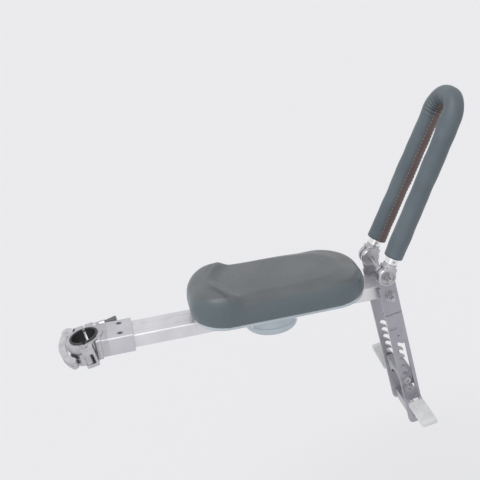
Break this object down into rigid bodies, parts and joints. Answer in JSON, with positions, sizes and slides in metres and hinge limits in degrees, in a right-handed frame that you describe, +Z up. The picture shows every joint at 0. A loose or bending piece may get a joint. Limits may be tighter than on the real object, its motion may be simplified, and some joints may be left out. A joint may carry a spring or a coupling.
{
  "type": "kids handlebar bike seat",
  "caption": "Child seat for a folding bicycle: a hinged seat-post clamp, a rail with a sliding padded seat, and a slotted front bracket with a padded loop handle and folding footrests.",
  "frame": {"origin": "centre of the seat-post clamp's bore, on the post's axis", "axes": "+X forward along the rail, +Y to the rider's left, +Z up from the rail's top face"},
  "size_m": [0.5344, 0.1938, 0.4532],
  "materials": {
    "cast_aluminium": "satin cast",
    "rail_aluminium": "satin anodised",
    "plate_steel": "satin plated",
    "bright_steel": "zinc plated",
    "handle_chrome": "polished",
    "dark_plastic": "satin moulded",
    "nut_plastic": "satin moulded",
    "grey_plastic": "silver grey, satin",
    "saddle_plastic": "light grey, satin moulded",
    "footrest_plastic": "pale grey, satin",
    "insert_brass": "turned",
    "pad_rubber": "matte",
    "cushion_cover": "grey artificial leather, soft grain",
    "sleeve_cover": "grey artificial leather, stitched seam"
  },
  "bodies": {
    "frame": {"clamp_front_half": "cast_aluminium", "clamp_rear_half": "cast_aluminium", "clamp_hinge_pin": "bright_steel", "front_liner": "dark_plastic", "rear_liner": "dark_plastic", "skewer": "bright_steel", "skewer_nut": "nut_plastic", "cam_washer": "dark_plastic", "cam_pin": "bright_steel", "rail_sleeve": "rail_aluminium", "sleeve_screws": "bright_steel", "rail": "rail_aluminium", "rail_end_plug": "dark_plastic"},
    "lever": {"cam_lever": "cast_aluminium"},
    "seat": {"seat_slider": "rail_aluminium", "seat_base": "grey_plastic", "seat_cushion": "cushion_cover", "seat_screws": "bright_steel", "clamp_stud": "bright_steel", "clamp_shoe": "rail_aluminium"},
    "knob": {"seat_knob": "grey_plastic", "knob_insert": "insert_brass"},
    "bracket": {"left_side_plate": "plate_steel", "right_side_plate": "plate_steel", "rail_bolt": "bright_steel", "rail_bolt_nut": "bright_steel", "rail_spacers": "bright_steel", "pivot_axle": "bright_steel", "pivot_nut": "bright_steel", "saddle_block": "saddle_plastic", "saddle_pad": "pad_rubber", "saddle_bolt": "bright_steel", "saddle_nut": "bright_steel", "lower_cross_bar": "cast_aluminium", "cross_bar_screws": "bright_steel", "left_foot_bracket": "plate_steel", "right_foot_bracket": "plate_steel", "foot_hinge_pins": "bright_steel", "foot_bolts": "bright_steel", "foot_nuts": "bright_steel"},
    "handle": {"handle_tube": "handle_chrome", "handle_sleeve": "sleeve_cover", "left_knuckle": "cast_aluminium", "right_knuckle": "cast_aluminium", "knuckle_pins": "bright_steel"},
    "left_foot": {"left_footrest": "footrest_plastic"},
    "right_foot": {"right_footrest": "footrest_plastic"}
  },
  "joints": [
    {"name": "lever_open", "type": "hinge", "parent": "frame", "child": "lever", "pos_m": [-0.02354, 0.02875, 0.00316], "axis": [0.1601, 0.2419, -0.957], "range_deg": [0, 140]},
    {"name": "seat_slide", "type": "slide", "parent": "frame", "child": "seat", "axis": [1, 0, 0], "range_m": [-0.065, 0.005]},
    {"name": "knob_turn", "type": "hinge", "parent": "seat", "child": "knob", "pos_m": [0.236, 0, -0.0145], "axis": [0, 0, 1], "continuous": true},
    {"name": "bracket_swing", "type": "hinge", "parent": "frame", "child": "bracket", "pos_m": [0.3873, 0, 0.0034], "axis": [0, 1, 0], "range_deg": [-5, 45]},
    {"name": "handle_fold", "type": "hinge", "parent": "bracket", "child": "handle", "pos_m": [0.38253, 0, 0.03352], "axis": [0, 1, 0], "range_deg": [-50, 50]},
    {"name": "left_foot_fold", "type": "hinge", "parent": "bracket", "child": "left_foot", "pos_m": [0.41264, 0.0431, -0.15661], "axis": [0.9877, 0, 0.1564], "range_deg": [-10, 75]},
    {"name": "right_foot_fold", "type": "hinge", "parent": "bracket", "child": "right_foot", "pos_m": [0.41264, -0.0431, -0.15661], "axis": [-0.9877, 0, -0.1564], "range_deg": [0, 85]}
  ]
}
